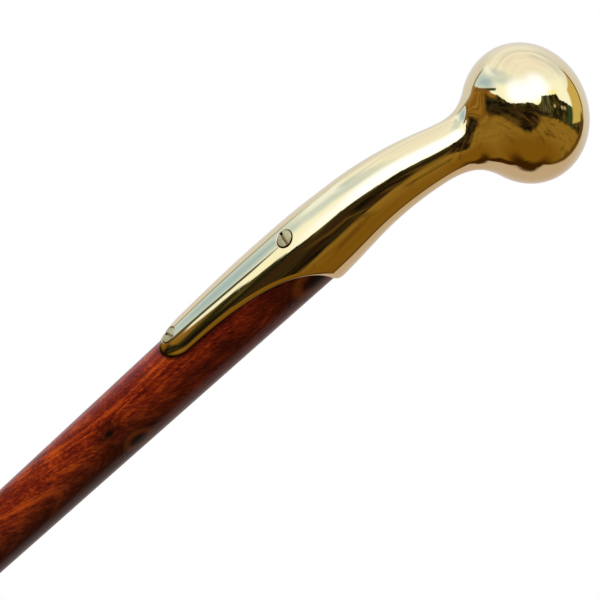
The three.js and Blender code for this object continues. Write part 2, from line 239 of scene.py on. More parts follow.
def handleOutline():
    form = handleForm
    knobRadius, depth = form["knobDiameter"] / 2, form["knobDepth"] / 2
    neckRadius, taper = form["neckDiameter"] / 2, neckTaper()
    joinAngle = math.asin(form["filletWidth"] / knobRadius)
    join = np.array([form["knobDistance"] - depth * math.cos(joinAngle), form["filletWidth"]])
    slope = np.array([depth * math.sin(joinAngle), knobRadius * math.cos(joinAngle)])
    length = join[0] - form["neckEnd"]
    neckReach, knobReach = length * form["filletNeckShare"], length * form["filletKnobShare"]
    fillet = bezier([
        (form["neckEnd"], neckRadius),
        (form["neckEnd"] + neckReach, neckRadius + neckReach * taper),
        join - slope / np.linalg.norm(slope) * knobReach,
        join,
    ], form["filletRows"])
    distances = np.linspace(form["fanTop"], form["neckEnd"], form["neckRows"], endpoint=False)
    neck = [(distance, float(outerRadius(distance))) for distance in distances]
    start = 180 - math.degrees(joinAngle)
    knob = arcPoints((form["knobDistance"], 0), (depth, knobRadius), start, 0, form["knobRows"])
    return [*neck, *fillet.tolist(), *knob[1:]]


def hollowOutline():
    form = handleForm
    bore, radius = form["boreDiameter"] / 2, form["knobDiameter"] / 2 - form["knobWall"]
    reach = form["knobDepth"] / 2 - form["knobWall"]
    mouth = 180 - math.degrees(math.asin(bore / radius))
    start = shaftForm["tenonLength"] + form["shaftGap"]
    end = form["knobDistance"] + reach * math.cos(math.radians(mouth))
    rows = form["innerRows"]
    straight = [(distance, bore) for distance in np.linspace(start, end, rows, endpoint=False)]
    return [*straight, *arcPoints((form["knobDistance"], 0), (reach, radius), mouth, 0, rows * 2)]


def shaftRadius(height):
    # height is measured from the lip
    top, foot = shaftForm["topDiameter"] / 2, shaftForm["footDiameter"] / 2
    return top + (top - foot) * height / (lipHeight - ferruleHigh.z / mm)


def outerRadius(height):
    form = handleForm
    lipRadius = form["lipDiameter"] / 2
    above = lipRadius + (height - form["lipCrown"]) * neckTaper()
    share = (form["lipCrown"] - height) / (form["lipCrown"] + form["tongueLength"])
    below = lipRadius + form["tongueSwell"] * np.sin(np.pi * share)
    near = np.maximum(1 - np.abs(above - below) / form["crownSoftness"], 0)
    return np.minimum(above, below) - near * near * form["crownSoftness"] / 4


def socketRadius(height):
    return shaftRadius(np.minimum(height, 0)) + handleForm["shaftGap"]


def runAlong(line):
    steps = np.linalg.norm(np.diff(line, axis=0), axis=1)
    return np.concatenate([[0], np.cumsum(steps)])


def readAt(stops, run, values):
    return np.stack([np.interp(stops, run, column) for column in values.T], 1)


def rimPath(samples=4000):
    # half of the handle's lower edge on the unrolled shaft, in even steps, with its direction
    form = handleForm
    wide, tipTop = form["tongueWidth"] / 2, form["tipRound"] - form["tongueLength"]
    angles = np.linspace(-np.pi / 2, 0, samples)
    tip = np.stack([wide * np.cos(angles), tipTop + form["tipRound"] * np.sin(angles)], 1)
    sweep = bezier([
        (wide, tipTop),
        (wide, tipTop + form["sweepRise"]),
        (form["sweepEnd"] - form["sweepRun"], 0),
        (form["sweepEnd"], 0),
    ], samples)
    back = np.linspace((form["sweepEnd"], 0), (math.pi * shaftForm["topDiameter"] / 2, 0), samples)
    path = np.vstack([tip, sweep[1:], back[1:]])
    run = runAlong(path)
    even = np.linspace(0, run[-1], form["columns"] // 2 + 1)
    along = readAt(even, run, np.gradient(path, run, axis=0))
    return readAt(even, run, path), along / np.linalg.norm(along, axis=1)[:, None]


def columnAngles(evenness):
    # angles from the tongue's middle; the columns crowd towards it round the lip and even out up the neck
    form = handleForm
    half = form["columns"] // 2
    share = np.arange(half + 1) / half
    crowded = share ** form["columnCrowding"]
    crowded += (share - crowded) * form["columnEvenShare"]
    angles = np.pi * (crowded + (share - crowded) * evenness)
    return np.concatenate([angles, -angles[-2:0:-1]])


def fanColumns():
    # a curve over the unrolled shaft for each column of the half turn, in steps that crowd at the rounded rim
    form = handleForm
    feet, along = rimPath()
    heads = columnAngles(0) * shaftForm["topDiameter"] / 2
    curves = []
    for foot, way, across in zip(feet, along, heads):
        inward = np.array([-way[1], way[0]])
        head = np.array([across, form["fanTop"]])
        reach = min(form["tongueWidth"] / 2, np.linalg.norm(head - foot)) / 2
        line = bezier([foot, foot + inward * reach, head], 200)
        towardsTip = max(inward[1], 0) if foot[1] < -form["tongueLength"] / 2 else 0
        rounding = form["edgeRound"] + (form["tipEdgeFade"] - form["edgeRound"]) * towardsTip
        run = runAlong(line)
        edge = rounding * (1 - np.cos(np.linspace(0, np.pi / 2, form["edgeRows"] + 1)))
        rest = np.linspace(rounding, run[-1], form["fanRows"] + 1)[1:]
        places = readAt(np.concatenate([edge, rest]), run, line)
        fromRim = np.minimum(np.linalg.norm(places - foot, axis=1) / rounding, 1)
        curves.append((places, np.sqrt(1 - (1 - fromRim) ** 2)))
    return curves


def fanRows(curves, onOutside):
    form = handleForm
    shaftTop = shaftForm["topDiameter"] / 2
    half = form["columns"] // 2
    order = [*range(half + 1), *range(half - 1, 0, -1)]
    side = np.array([1] * (half + 1) + [-1] * (half - 1))
    places = np.stack([curves[i][0] for i in order], 1)
    rise = np.stack([curves[i][1] for i in order], 1)
    heights = places[:, :, 1]
    inner = socketRadius(heights)
    outer = inner + form["edgeThickness"] + (outerRadius(heights) - inner - form["edgeThickness"]) * rise
    radius = outer if onOutside else inner
    angles = side * places[:, :, 0] / shaftTop
    return np.stack([-radius * np.cos(angles), -radius * np.sin(angles), heights], 2)


def spineRing(distance, radius):
    form = handleForm
    x, z, lean = spineAt(distance)
    share = np.clip((distance - form["fanTop"]) / (form["neckEnd"] - form["fanTop"]), 0, 1)
    angles = columnAngles(share * share * (3 - 2 * share))
    across = -radius * np.cos(angles)
    return np.stack([x + across * math.cos(lean), -radius * np.sin(angles), z - across * math.sin(lean)], 1)


def handleMesh():
    curves = fanColumns()
    outside, inside = fanRows(curves, True), fanRows(curves, False)
    outline, hollow = handleOutline(), hollowOutline()
    top, cavityTop = spineAt(outline.pop()[0]), spineAt(hollow.pop()[0])
    shoulder = spineRing(0, shaftForm["tenonDiameter"] / 2 + handleForm["shaftGap"])
    mouth = spineRing(*hollow.pop(0))
    shoulder[:, 2] = mouth[:, 2] = shaftForm["tenonLength"] + handleForm["shaftGap"]
    rows = [spineRing(*step) for step in outline[1:][::-1]]
    rows += list(outside[::-1])
    rows += list(inside[:: handleForm["innerRows"]])
    rows += [inside[-1]] if (len(inside) - 1) % handleForm["innerRows"] else []
    rows += [shoulder, mouth, *(spineRing(*step) for step in hollow)]
    points, faces = closedSkin((top[0], 0, top[1]), rows, (cavityTop[0], 0, cavityTop[1]))
    points[:, 2] += lipHeight
    return points, faces


def finishedMesh(name, source):
    # the evaluated shape as a plain mesh; the object that made it goes
    bpy.context.view_layer.update()
    evaluated = source.evaluated_get(bpy.context.evaluated_depsgraph_get())
    mesh = bpy.data.meshes.new_from_object(evaluated)
    mesh.name = name
    bpy.data.objects.remove(source)
    return newObject(name, mesh)


def smoothOver(piece, degrees=35):
    piece.data.shade_smooth()
    piece.data.set_sharp_from_angle(angle=math.radians(degrees))
    return piece


def cutWith(piece, cutters, name):
    # the cutters are plain closed meshes in the object's own frame
    for cutter in cutters:
        boolean = piece.modifiers.new("cut", "BOOLEAN")
        boolean.operation, boolean.solver, boolean.object = "DIFFERENCE", "EXACT", cutter
    done = finishedMesh(name, piece)
    for cutter in cutters:
        bpy.data.objects.remove(cutter)
    return done


# Tongue screws, in millimetres and degrees. Each screw's own +Z points out of the tongue, +Y up the shaft.
screwForm = {
    "headDiameter": 5.5,
    "headDepth": 1.7,
    "headRim": 0.35,
    "headRound": 0.14,
    "shankDiameter": 2.5,
    "threadDiameter": 3,
    "threadPitch": 1.25,
    "length": 14,
    "point": 3,
    "slotWidth": 0.95,
    "slotDepth": 0.8,
    "recessDiameter": 5.96,
    "recessEdge": 0.3,  # width of the rounded edge round the recess
    "recessEdgeDepth": 0.35,
    "recessOverrun": 0.05,  # above the brass
    "slip": 0.18,
    "gap": 0.3,
    "columns": 72,
}
screwPlaces = {
    "upper": {"drop": 1.7, "inset": 0.1, "turn": 9.8, "slotTurn": 92.5},
    "lower": {"drop": 53.6, "inset": 0.35, "turn": -7.2, "slotTurn": 120.5},
}


def screwMatrix(spot):
    reach = float(outerRadius(-spot["drop"])) - spot["inset"]
    own = Matrix(((0, 0, -1), (-1, 0, 0), (0, 1, 0))).to_4x4()
    seat = Matrix.Translation((-reach * mm, 0, (lipHeight - spot["drop"]) * mm))
    return Matrix.Rotation(math.radians(spot["turn"]), 4, "Z") @ seat @ own


def recessCutter(name, matrix, surface):
    # the counterbore and hole; its rounded edge follows the brass round it
    form = screwForm
    angles = ringAngles(form["columns"])
    radius, hole = form["recessDiameter"] / 2, form["threadDiameter"] / 2 + form["gap"]

    def skinHeight(reach):
        heights = []
        for x, y, _ in ring(reach, 0, angles):
            start = matrix @ Vector((x * mm, y * mm, form["length"] * mm))
            hit = surface.ray_cast(start, -matrix.to_3x3().col[2])[0]
            heights.append((matrix.inverted() @ hit).z / mm)
        return np.array(heights)

    levels = [
        (hole, -form["length"]),
        (hole, -form["headDepth"] - form["gap"]),
        (radius, -form["headRim"] - form["gap"]),
    ]
    for share in np.linspace(0, 0.8, 6):
        reach = radius + form["recessEdge"] * share
        levels.append((reach, skinHeight(reach) - form["recessEdgeDepth"] * (1 - share) ** 2))
    reach = radius + form["recessEdge"]
    levels += [(reach, skinHeight(reach) + form["recessOverrun"]), (reach, form["length"])]
    rows = [ring(reach, height, angles) for reach, height in levels]
    points, faces = closedSkin((0, 0, -form["length"]), rows, (0, 0, form["length"]))
    cutter = meshPiece(name, points, [face[::-1] for face in faces])
    cutter.data.transform(matrix)
    return cutter


def screwMesh():
    form = screwForm
    head, shank, thread = form["headDiameter"] / 2, form["shankDiameter"] / 2, form["threadDiameter"] / 2
    foot, top = -form["length"] + form["point"], -form["headDepth"] - form["threadPitch"]
    angles = ringAngles(form["columns"])
    levels = []
    for height in np.arange(foot, top, form["threadPitch"] / 8):
        # the thread climbs with the angle and fades at its ends
        wave = 0.5 - 0.5 * np.cos(2 * np.pi * height / form["threadPitch"] + angles)
        fade = min(1, (height - foot) / form["threadPitch"], (top - height) / form["threadPitch"])
        levels.append((shank + (thread - shank) * wave ** 2 * fade, height))
    edge = form["headRound"]
    rounded = arcPoints((head - edge, -edge), (edge, edge), 0, 90, 5)
    levels += [(shank, -form["headDepth"]), (head, -form["headRim"]), *rounded]
    rows = [ring(radius, height, angles) for radius, height in levels]
    points, faces = closedSkin((0, 0, -form["length"]), rows, (0, 0, 0))
    screw = meshPiece("screw", points, [face[::-1] for face in faces])
    side, deep = form["slotWidth"] / 2, form["slotDepth"]
    corners = [(x, y, z) for z in (-deep, 1) for y in (-head - 1, head + 1) for x in (-side, side)]
    sides = [(0, 2, 3, 1), (4, 5, 7, 6), (0, 1, 5, 4), (2, 6, 7, 3), (0, 4, 6, 2), (1, 3, 7, 5)]
    screw = cutWith(screw, [meshPiece("slot", corners, sides)], "screwPattern")
    # how deep each point lies in the slot, for the painted shade on its walls
    places = np.array([point.co for point in screw.data.vertices]) / mm
    inSlot = (np.abs(places[:, 0]) < side + 0.01) & (places[:, 2] > -deep - 0.01)
    depth = screw.data.attributes.new("slotDepth", "FLOAT", "POINT")
    depth.data.foreach_set("value", np.where(inSlot, -places[:, 2] / deep, 0))
    return smoothOver(screw)


# Nodes, for the shapes and for the materials


class Wire:
    # one output of a node; arithmetic on it adds the maths nodes
    def __init__(self, socket):
        self.socket, self.tree = socket, socket.id_data

    def __add__(self, other):
        return calc("ADD", self, other)

    def __sub__(self, other):
        return calc("SUBTRACT", self, other)

    def __rsub__(self, other):
        return calc("SUBTRACT", other, self)

    def __mul__(self, other):
        return calc("MULTIPLY", self, other)

    def __truediv__(self, other):
        return calc("DIVIDE", self, other)

    __radd__, __rmul__ = __add__, __mul__


def plug(socket, value):
    # a link where the value comes from another node, and a fixed value otherwise
    if isinstance(value, Wire):
        socket.id_data.links.new(value.socket, socket)
    else:
        socket.default_value = value


def newNode(tree, kind, inputs=None, **settings):
    node = tree.nodes.new(kind)
    for name, value in settings.items():
        setattr(node, name, value)
    for name, value in (inputs or {}).items():
        plug(node.inputs[name], value)
    return node


def outputsOf(node):
    return {socket.name: Wire(socket) for socket in node.outputs}


def addNode(tree, kind, inputs=None, out=0, **settings):
    return Wire(newNode(tree, kind, inputs, **settings).outputs[out])


def treeOf(values):
    return next(value.tree for value in values if isinstance(value, Wire))


def calc(operation, *values, clamp=False):
    inputs = dict(enumerate(values))
    return addNode(treeOf(values), "ShaderNodeMath", inputs, operation=operation, use_clamp=clamp)


def maximum(*values):
    return calc("MAXIMUM", *values)


def vectorCalc(operation, *values):
    names = (0, "Scale") if operation == "SCALE" else range(len(values))
    out = "Value" if operation in ("LENGTH", "DOT_PRODUCT") else "Vector"
    return addNode(values[0].tree, "ShaderNodeVectorMath", dict(zip(names, values)), out, operation=operation)


def length(vector):
    return vectorCalc("LENGTH", vector)


def parts(vector):
    return outputsOf(newNode(vector.tree, "ShaderNodeSeparateXYZ", {"Vector": vector})).values()


def joined(x=0.0, y=0.0, z=0.0):
    return addNode(treeOf((x, y, z)), "ShaderNodeCombineXYZ", {"X": x, "Y": y, "Z": z})


def nodeTree(name, kind, inputs, outputs):
    # an input is given by its kind, or by the number that it starts with
    tree = bpy.data.node_groups.new(name, kind)
    for label, socket in outputs.items():
        tree.interface.new_socket(name=label, in_out="OUTPUT", socket_type="NodeSocket" + socket)
    for label, value in inputs.items():
        socket = {int: "Int", float: "Float"}.get(type(value), value)
        item = tree.interface.new_socket(name=label, in_out="INPUT", socket_type="NodeSocket" + socket)
        if socket != value:
            item.default_value = value
    entry, leave = tree.nodes.new("NodeGroupInput"), tree.nodes.new("NodeGroupOutput")
    return tree, outputsOf(entry), leave.inputs


def formTree(name, inputs):
    inputs = {"Geometry": "Geometry", **inputs, "Material": "Material"}
    return nodeTree(name, "GeometryNodeTree", inputs, {"Geometry": "Geometry"})


def finishForm(given, result, shape):
    real = addNode(shape.tree, "GeometryNodeRealizeInstances", {"Geometry": shape})
    inputs = {"Geometry": real, "Material": given["Material"]}
    plug(result["Geometry"], addNode(shape.tree, "GeometryNodeSetMaterial", inputs))


def runForm(name, source, tree, values):
    modifier = source.modifiers.new("form", "NODES")
    modifier.node_group = tree
    for item in tree.interface.items_tree:
        if item.in_out == "INPUT" and item.name in values:
            modifier[item.identifier] = values[item.name]
    return finishedMesh(name, source)


def copiesTree():
    # copies of one piece on marked points, each turned by its point's own facing, then about its own axis
    tree, given, result = formTree("copiesOnPoints", {"Pattern": "Object", "Slip": 0.0})

    def marked(label, kind):
        return addNode(tree, "GeometryNodeInputNamedAttribute", {"Name": label}, "Attribute", data_type=kind)

    pattern = {"Object": given["Pattern"], "As Instance": True}
    copies = addNode(tree, "GeometryNodeInstanceOnPoints", {
        "Points": given["Geometry"],
        "Instance": addNode(tree, "GeometryNodeObjectInfo", pattern, "Geometry"),
        "Rotation": addNode(tree, "FunctionNodeEulerToRotation", {"Euler": marked("facing", "FLOAT_VECTOR")}),
    })
    slipped = addNode(tree, "GeometryNodeTranslateInstances", {
        "Instances": copies,
        "Translation": joined(given["Slip"] * -1.0),
    })
    finishForm(given, result, addNode(tree, "GeometryNodeRotateInstances", {
        "Instances": slipped,
        "Rotation": joined(z=marked("spin", "FLOAT")),
    }))
    return tree


def copiesOn(name, tree, pattern, matrices, spins, material, slip=0.0):
    mesh = bpy.data.meshes.new(name + "Points")
    mesh.from_pydata([matrix.translation for matrix in matrices], [], [])
    facing = mesh.attributes.new("facing", "FLOAT_VECTOR", "POINT")
    facing.data.foreach_set("vector", [angle for matrix in matrices for angle in matrix.to_euler()])
    spin = mesh.attributes.new("spin", "FLOAT", "POINT")
    spin.data.foreach_set("value", spins)
    values = {"Pattern": pattern, "Slip": slip * mm, "Material": material}
    piece = runForm(name, newObject(name + "Points", mesh), tree, values)
    bpy.data.objects.remove(pattern)
    return piece


def shaftTree():
    # sweeps a round section along the shaft's axis; the axis points' own radius makes the taper
    inputs = {"Columns": 64, "Waver": 0.0, "Waver Scale": 10.0, "Seed": 0.0}
    tree, given, result = formTree("turnedShaft", inputs)
    section = {"Resolution": given["Columns"], "Radius": 1.0}
    swept = addNode(tree, "GeometryNodeCurveToMesh", {
        "Curve": given["Geometry"],
        "Profile Curve": addNode(tree, "GeometryNodeCurvePrimitiveCircle", section),
        "Scale": addNode(tree, "GeometryNodeInputRadius"),
        "Fill Caps": True,
    })
    field = {"W": given["Seed"], "Scale": given["Waver Scale"], "Detail": 1.0}
    depth = (addNode(tree, "ShaderNodeTexNoise", field, noise_dimensions="4D") - 0.5) * given["Waver"]
    push = vectorCalc("SCALE", addNode(tree, "GeometryNodeInputNormal"), depth)
    finishForm(given, result, addNode(tree, "GeometryNodeSetPosition", {"Geometry": swept, "Offset": push}))
    return tree


def makeShaft(material):
    form = shaftForm
    foot, shoulder, top = shaftLow.z / mm, ferruleHigh.z / mm, shaftHigh.z / mm
    spigot, end = form["spigotDiameter"] / 2, form["tenonDiameter"] / 2
    step = 0.02  # between the two radii at the ferrule's edge
    axis = [(foot, spigot), (shoulder, spigot), (shoulder + step, form["footDiameter"] / 2)]
    for height in np.arange(shoulder + form["rowPitch"], lipHeight, form["rowPitch"]):
        axis.append((height, float(shaftRadius(height - lipHeight))))
    axis += [
        (lipHeight, form["topDiameter"] / 2),
        (lipHeight + handleForm["fanTop"], form["topDiameter"] / 2),
        (top - form["tenonChamfer"], end),
        (top, end - form["tenonChamfer"]),
    ]
    curve = bpy.data.curves.new("shaftAxis", "CURVE")
    curve.dimensions = "3D"
    spline = curve.splines.new("POLY")
    spline.points.add(len(axis) - 1)
    for point, (height, radius) in zip(spline.points, axis):
        point.co = (0, 0, height * mm, 1)
        point.radius = radius * mm
    return smoothOver(runForm("turnedShaft", newObject("shaftAxis", curve), shaftTree(), {
        "Columns": form["columns"],
        "Waver": form["waver"] * mm,
        "Waver Scale": form["waverScale"],
        "Seed": form["seed"],
        "Material": material,
    }))


# Shaders


def tone(*shown):
    # display values from 0 to 255 as the linear colour that a shader takes
    shares = [value / 255 for value in shown]
    return (*(s / 12.92 if s <= 0.04045 else ((s + 0.055) / 1.055) ** 2.4 for s in shares), 1)


def ease(value, low, high, start=0.0, end=1.0):
    inputs = {"Value": value, "From Min": low, "From Max": high, "To Min": start, "To Max": end}
    return addNode(value.tree, "ShaderNodeMapRange", inputs, interpolation_type="SMOOTHSTEP")


def within(value, low, high, soft):
    return ease(value, low - soft, low + soft) * ease(value, high + soft, high - soft)


def noise(vector, scale=1.0, detail=2.0, roughness=0.5, distortion=0.0):
    inputs = {"Scale": scale, "Detail": detail, "Roughness": roughness, "Distortion": distortion}
    return addNode(vector.tree, "ShaderNodeTexNoise", {"Vector": vector, **inputs})


def blend(factor, under, over):
    return addNode(factor.tree, "ShaderNodeMix", {0: factor, 6: under, 7: over}, 2, data_type="RGBA")


def painted(under, *coats):
    # each coat says where it goes and in what colour
    for where, color in coats:
        under = blend(where, under, color)
    return under


def ramp(value, stops):
    node = newNode(value.tree, "ShaderNodeValToRGB", {"Fac": value})
    marks = node.color_ramp.elements
    while len(marks) < len(stops):
        marks.new(0.5)
    for mark, (position, color) in zip(marks, stops):
        mark.position, mark.color = position, color
    return Wire(node.outputs["Color"])


def stretch(vector, scale, turn=(0, 0, 0)):
    return addNode(vector.tree, "ShaderNodeMapping", {"Vector": vector, "Scale": scale, "Rotation": turn})


def bump(height, strength, distance, normal=None):
    inputs = {"Height": height, "Strength": strength, "Distance": distance}
    if normal:
        inputs["Normal"] = normal
    return addNode(height.tree, "ShaderNodeBump", inputs)


def newMaterial(name):
    material = bpy.data.materials.new(name)
    material.use_nodes = True
    return material, addNode(material.node_tree, "ShaderNodeTexCoord", out="Object")


def shade(material, values):
    for name, value in values.items():
        plug(material.node_tree.nodes["Principled BSDF"].inputs[name], value)
    return material


# Wear of the metals. Scales are to the metre, and fades are (none, full).
wearForm = {
    "lineScale": (2600, 2600, 90),
    "lineTurns": ((0.3, 0.2, 0.1), (1.1, 0.5, 0.9), (0.4, 1.2, 2.1)),  # in radians
    "lineFade": (0.69, 0.78),
    "patchScale": 0.06,  # of the lines' own scale
    "patchFade": (0.45, 0.7),
    "speckScale": 900.0,
    "speckFade": (0.22, 0.12),
    "speckChance": (0.86, 0.9),
    "smudgeFade": (0.45, 0.75),
}


def scratchGroup():
    # fine polishing scratches that cross in three directions, and pinhead specks
    form = wearForm
    inputs = {"Vector": "Vector", "Scale": 1.0, "Amount": 0.5, "Specks": 0.5}
    outputs = {"Mask": "Float", "Specks": "Float"}
    tree, given, result = nodeTree("fineScratches", "ShaderNodeTree", inputs, outputs)
    sized = vectorCalc("SCALE", given["Vector"], given["Scale"])
    lines = 0.0
    for turn in form["lineTurns"]:
        along = stretch(sized, form["lineScale"], turn)
        patches = ease(noise(along, form["patchScale"], 1.0), *form["patchFade"])
        lines = maximum(lines, ease(noise(along, 1.0, 1.0), *form["lineFade"]) * patches)
    plug(result["Mask"], calc("MULTIPLY", lines, given["Amount"], clamp=True))
    inputs = {"Vector": sized, "Scale": form["speckScale"]}
    cells = outputsOf(newNode(tree, "ShaderNodeTexVoronoi", inputs))
    chance = addNode(tree, "ShaderNodeSeparateColor", {"Color": cells["Color"]})
    dots = ease(cells["Distance"], *form["speckFade"]) * ease(chance, *form["speckChance"])
    plug(result["Specks"], calc("MULTIPLY", dots, given["Specks"], clamp=True))
    return tree


def smudgeGroup():
    # hand marks and dull patches
    inputs = {"Vector": "Vector", "Scale": 60.0, "Amount": 0.5}
    tree, given, result = nodeTree("handSmudges", "ShaderNodeTree", inputs, {"Mask": "Float"})
    wide = ease(noise(given["Vector"], given["Scale"], 3.0, 0.6, 0.4), *wearForm["smudgeFade"])
    plug(result["Mask"], calc("MULTIPLY", wide, given["Amount"], clamp=True))
    return tree


scratches, smudges = scratchGroup(), smudgeGroup()


def useGroup(group, place, values):
    return outputsOf(newNode(place.tree, "ShaderNodeGroup", {"Vector": place, **values}, node_tree=group))


def wear(place, look):
    # scratches, specks and hand marks
    marks = useGroup(scratches, place, look["scratches"])
    return marks["Mask"], marks["Specks"], useGroup(smudges, place, look["smudges"])["Mask"]


brassLook = {
    "color": tone(244, 226, 180),
    "deepColor": tone(236, 214, 160),
    "speckColor": tone(150, 110, 50),
    "scratches": {"Scale": 1.0, "Amount": 0.7, "Specks": 0.25},
    "smudges": {"Scale": 55.0, "Amount": 0.8},
    "roughness": 0.03,
    "smudgeRoughness": 0.035,
    "scratchRoughness": 0.12,
    "speckRoughness": 0.3,
    "scratchDepth": 0.000006,  # in metres
    "tintScale": 30.0,
    "castScale": 42.0,
    "castWave": 0.00012,  # metres of slow unevenness under the polish
    "fineScale": 260.0,
    "fineShare": 0.03,  # of the slow unevenness
    # painted shade: a dark colour in the corner beside the wood and in the screws' recesses
    "paintedShade": tone(52, 34, 14),
    "paintedShadeRoughness": 0.04,
    "paintedShadeReach": (1.55, 1.1),  # millimetres from the wood, where it starts and where it is thick
    "paintedShadeDrops": (1, 12),  # the same below the lip
}
screwLook = {
    "color": tone(222, 204, 150),
    "handColor": tone(188, 164, 106),
    # painted shade in the slot: dark on its walls, tan on its floor
    "slotPaintedShade": [(0.0, tone(58, 42, 16)), (0.9, tone(44, 30, 10)), (1.0, tone(196, 156, 100))],
    "scratches": {"Scale": 0.8, "Amount": 1.0, "Specks": 0.6},
    "smudges": {"Scale": 400.0, "Amount": 1.0},
    "roughness": 0.42,
    "scratchRoughness": 0.15,
    "grainScale": 1800.0,
    "grainDepth": 0.00002,
}
ferruleLook = {
    "color": tone(238, 214, 160),
    "handColor": tone(206, 168, 104),
    "scratches": {"Scale": 0.7, "Amount": 1.0, "Specks": 1.0},
    "smudges": {"Scale": 90.0, "Amount": 1.0},
    "roughness": 0.1,
    "handRoughness": 0.12,
    "scratchRoughness": 0.2,
    "latheLines": (1, 1, 2400),  # to the metre
    "latheDepth": 0.00001,
}
steelLook = {
    "colors": (tone(150, 150, 152), tone(188, 188, 190)),
    "grainScale": (1500, 200, 800),
    "grainDepth": 0.00002,
    "roughness": 0.3,
    "grainRoughness": 0.2,
}
rubberLook = {
    "color": tone(34, 34, 33),
    "handColor": tone(52, 50, 47),
    "dust": tone(96, 88, 76),
    "dustAmount": 0.35,
    "dustHeight": 0.012,  # metres above the tread
    "smudges": {"Scale": 120.0, "Amount": 0.7},
    "roughness": 0.62,
    "handRoughness": 0.15,
    "grainScale": 2200.0,
    "grainDepth": 0.00004,
}


def paintedShadeMask(place):
    # painted shade in the screws' recesses and in the corner between the brass and the wood
    x, y, z = parts(place)
    foot, head = (float(shaftRadius(height)) * mm for height in (-lipHeight, 0))
    wood = z * ((head - foot) / (lipHeight * mm)) + foot
    beside = ease(length(joined(x, y)) - wood, *(reach * mm for reach in brassLook["paintedShadeReach"]))
    mask = beside * ease(lipHeight * mm - z, *(drop * mm for drop in brassLook["paintedShadeDrops"]))
    reach = screwForm["recessDiameter"] / 2 * mm
    for spot in screwPlaces.values():
        seat = screwMatrix(spot)
        away = vectorCalc("SUBTRACT", place, tuple(seat.translation))
        off = length(vectorCalc("CROSS_PRODUCT", away, tuple(seat.to_3x3().col[2])))
        mask = maximum(mask, ease(off, reach * 1.04, reach))
    return mask


def polishedBrass():
    look = brassLook
    material, place = newMaterial("polishedBrass")
    marks, specks, hands = wear(place, look)
    tint = blend(noise(place, look["tintScale"]), look["deepColor"], look["color"])
    # painted shade, darkening the brass beside the wood and round the screw heads
    paintedShade = paintedShadeMask(place)
    dull = hands * look["smudgeRoughness"] + look["roughness"] + paintedShade * look["paintedShadeRoughness"]
    slow = bump(noise(place, look["castScale"], 1.0, 0.4), 1.0, look["castWave"])
    small = bump(noise(place, look["fineScale"]), 1.0, look["castWave"] * look["fineShare"], slow)
    return shade(material, {
        "Base Color": painted(tint, (specks * 0.5, look["speckColor"]), (paintedShade, look["paintedShade"])),
        "Roughness": dull + marks * look["scratchRoughness"] + specks * look["speckRoughness"],
        "Metallic": 1,
        "Normal": bump(marks + specks, 0.25, -look["scratchDepth"], small),
    })


def filedBrass():
    look = screwLook
    material, place = newMaterial("filedBrass")
    marks, _, hands = wear(place, look)
    headColor = blend(hands, look["color"], look["handColor"])
    # painted shade on the slot's walls, a lighter tan on its floor
    deep = addNode(place.tree, "ShaderNodeAttribute", out="Fac", attribute_name="slotDepth")
    return shade(material, {
        "Base Color": blend(ease(deep, 0.02, 0.3), headColor, ramp(deep, look["slotPaintedShade"])),
        "Roughness": marks * look["scratchRoughness"] + look["roughness"],
        "Metallic": 1,
        "Normal": bump(noise(place, look["grainScale"], 3.0), 0.35, look["grainDepth"]),
    })


def ferruleBrass():
    look = ferruleLook
    material, place = newMaterial("ferruleBrass")
    marks, _, hands = wear(place, look)
    dull = hands * look["handRoughness"] + look["roughness"]
    lathe = noise(stretch(place, look["latheLines"]), 1.0, 1.0)
    return shade(material, {
        "Base Color": blend(hands, look["color"], look["handColor"]),
        "Roughness": dull + marks * look["scratchRoughness"],
        "Metallic": 1,
        "Normal": bump(lathe, 0.3, look["latheDepth"]),
    })


def dullSteel():
    look = steelLook
    material, place = newMaterial("dullSteel")
    grain = noise(stretch(place, look["grainScale"]))
    return shade(material, {
        "Base Color": blend(grain, *look["colors"]),
        "Roughness": grain * look["grainRoughness"] + look["roughness"],
        "Metallic": 1,
        "Normal": bump(grain, 0.2, look["grainDepth"]),
    })


def mouldedRubber():
    look = rubberLook
    material, place = newMaterial("mouldedRubber")
    hands = useGroup(smudges, place, look["smudges"])["Mask"]
    *_, z = parts(place)
    dust = ease(z, look["dustHeight"], 0.0) * look["dustAmount"]
    return shade(material, {
        "Base Color": blend(dust, blend(hands, look["color"], look["handColor"]), look["dust"]),
        "Roughness": hands * look["handRoughness"] + look["roughness"],
        "Specular IOR Level": 0.35,
        "Normal": bump(noise(place, look["grainScale"]), 0.3, look["grainDepth"]),
    })


